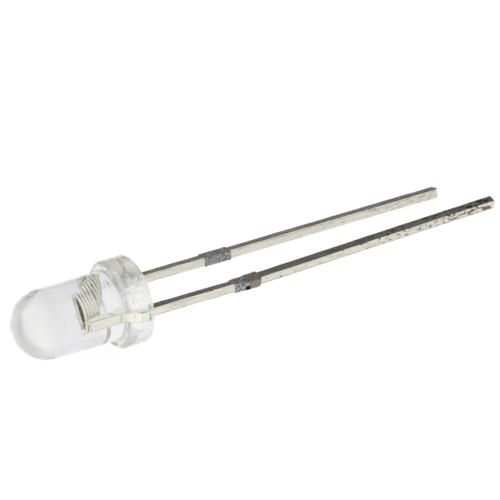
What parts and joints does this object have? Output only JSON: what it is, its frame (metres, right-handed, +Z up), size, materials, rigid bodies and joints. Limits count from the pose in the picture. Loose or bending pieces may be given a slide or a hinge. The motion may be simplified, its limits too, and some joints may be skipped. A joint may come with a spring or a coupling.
{
  "type": "through hole led",
  "caption": "Round clear through hole LED with a domed barrel, a flange with a cathode flat and long straight leads, lying on its side.",
  "frame": {"origin": "on the surface that the part lies on, below the centre of its bounding box", "axes": "+X along the leads away from the dome, +Y towards the cathode lead, +Z up; the body's own axis dips 5.87 degrees towards the lead tips"},
  "size_m": [0.0224, 0.0036, 0.0039],
  "materials": {
    "clear_epoxy": "clear cast epoxy, glossy",
    "plated_lead": "bright tin plate with sheared grey edges",
    "silver_glue": "silver filled glue, satin",
    "chip": "polished semiconductor",
    "gold_wire": "drawn gold, glossy"
  },
  "bodies": {
    "root": {"lens_body": "clear_epoxy", "cathode_lead": "plated_lead", "anode_lead": "plated_lead", "die_attach": "silver_glue", "led_chip": "chip", "bond_wire": "gold_wire"}
  },
  "joints": []
}
